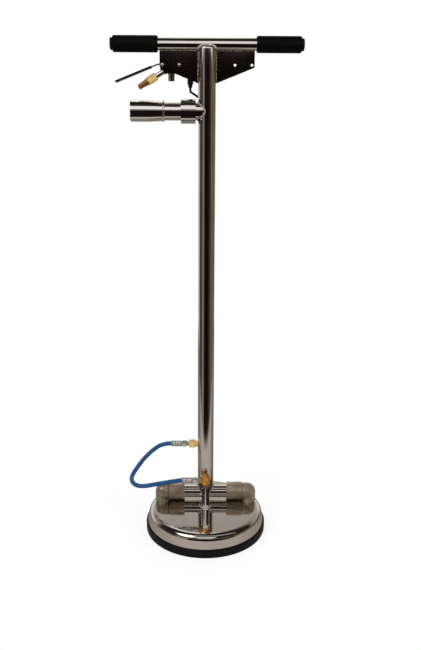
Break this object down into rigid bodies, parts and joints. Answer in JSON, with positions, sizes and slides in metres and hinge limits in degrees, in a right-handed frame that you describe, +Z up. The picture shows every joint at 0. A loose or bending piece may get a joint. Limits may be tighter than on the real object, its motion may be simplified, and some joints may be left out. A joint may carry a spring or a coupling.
{
  "type": "hard-surface spinner",
  "caption": "Hard-surface cleaning spinner: round steel pan with a spray rotor inside, tilting wand with a T-bar, trigger valve, water hose and swivelling vacuum cuff.",
  "frame": {"origin": "on the floor, at the middle of the head", "axes": "+Z up along the wand, +X to the right along the handlebar, +Y to the operator's side, where the wand tilts"},
  "size_m": [0.406, 0.288, 1.13],
  "materials": {
    "polished_steel": "mirror polished stainless steel",
    "chrome_fitting": "bright chrome plate",
    "satin_steel": "satin blasted stainless steel",
    "plated_steel": "zinc plated steel",
    "brass": "bright machined brass",
    "copper_brass": "browned brass",
    "gusset_steel": "dark mirror steel plate",
    "black_rubber": "smooth black rubber",
    "grip_foam": "closed-cell black grip foam",
    "plug_plastic": "moulded black plastic",
    "black_steel": "black oxide steel",
    "lever_vinyl": "dipped black vinyl",
    "blue_hose": "smooth blue hose jacket"
  },
  "bodies": {
    "head": {"rubber_ring": "black_rubber", "head_shell": "polished_steel", "elbow_left": "satin_steel", "elbow_right": "satin_steel", "collar_left": "satin_steel", "collar_right": "satin_steel", "tilt_seals": "black_rubber", "swivel_stem": "chrome_fitting", "stem_flange": "chrome_fitting", "spindle_locknut": "plated_steel", "inlet_nut": "chrome_fitting", "inlet_elbow": "brass", "lower_adapter": "chrome_fitting", "lower_hose_nut": "plated_steel", "lower_ferrule": "plated_steel", "jumper_hose": "blue_hose", "rotor_washer": "plated_steel", "rotor_nut": "plated_steel"},
    "spray_rotor": {"rotor_hub": "plated_steel", "upper_bearing": "plated_steel", "lower_bearing": "plated_steel", "hub_seals": "black_rubber", "spray_arms": "plated_steel", "spray_nozzles": "brass"},
    "handle": {"cross_tube": "polished_steel", "main_pole": "polished_steel", "vacuum_stub": "polished_steel", "handlebar": "polished_steel", "grip_left": "grip_foam", "grip_right": "grip_foam", "bar_end_plugs": "plug_plastic", "gusset_left": "gusset_steel", "gusset_right": "gusset_steel", "swivel_collar": "chrome_fitting", "collar_ring_nut": "plated_steel", "cuff_seal": "black_rubber", "collar_set_screws": "plated_steel", "solution_line": "plated_steel", "line_nut": "plated_steel", "pole_outlet": "brass", "upper_adapter": "chrome_fitting", "upper_hose_nut": "plated_steel", "upper_ferrule": "plated_steel", "bleed_screw": "chrome_fitting", "valve_body": "black_steel", "valve_bolt": "chrome_fitting", "valve_cap": "plated_steel", "inlet_nipple": "chrome_fitting", "plug_body": "brass", "plug_nose": "copper_brass", "pivot_bolt": "chrome_fitting", "pivot_nuts": "plated_steel", "plunger_spring": "plated_steel"},
    "lever": {"trigger_lever": "black_steel", "lever_sleeve": "lever_vinyl"},
    "plunger": {"valve_plunger": "plated_steel"},
    "cuff": {"cuff_tube": "chrome_fitting", "cuff_bead": "chrome_fitting", "cuff_sleeve": "chrome_fitting"}
  },
  "joints": [
    {"name": "handle_tilt", "type": "hinge", "parent": "head", "child": "handle", "pos_m": [0, 0.033, 0.0755], "axis": [-1, 0, 0], "range_deg": [0, 85], "deforming": ["jumper_hose"]},
    {"name": "spray_spin", "type": "hinge", "parent": "head", "child": "spray_rotor", "pos_m": [0, 0, 0.034], "axis": [0, 0, 1], "continuous": true},
    {"name": "trigger_pull", "type": "hinge", "parent": "handle", "child": "lever", "pos_m": [-0.0942, 0.046, 1.072], "axis": [0, 1, 0], "range_deg": [0, 18], "stiffness_Nm_per_rad": 2, "springref_deg": -11.46},
    {"name": "plunger_slide", "type": "slide", "parent": "handle", "child": "plunger", "axis": [0, 0, -1], "range_m": [0, 0.0055], "stiffness_N_per_m": 250, "springref_m": -0.004, "deforming": ["plunger_spring"]},
    {"name": "cuff_swivel", "type": "hinge", "parent": "handle", "child": "cuff", "pos_m": [-0.06, 0.033, 0.978], "axis": [1, 0, 0], "continuous": true}
  ],
  "couplings": [
    {"joint": "plunger_slide", "follows": "trigger_pull", "m_per_rad": 0.017472}
  ]
}
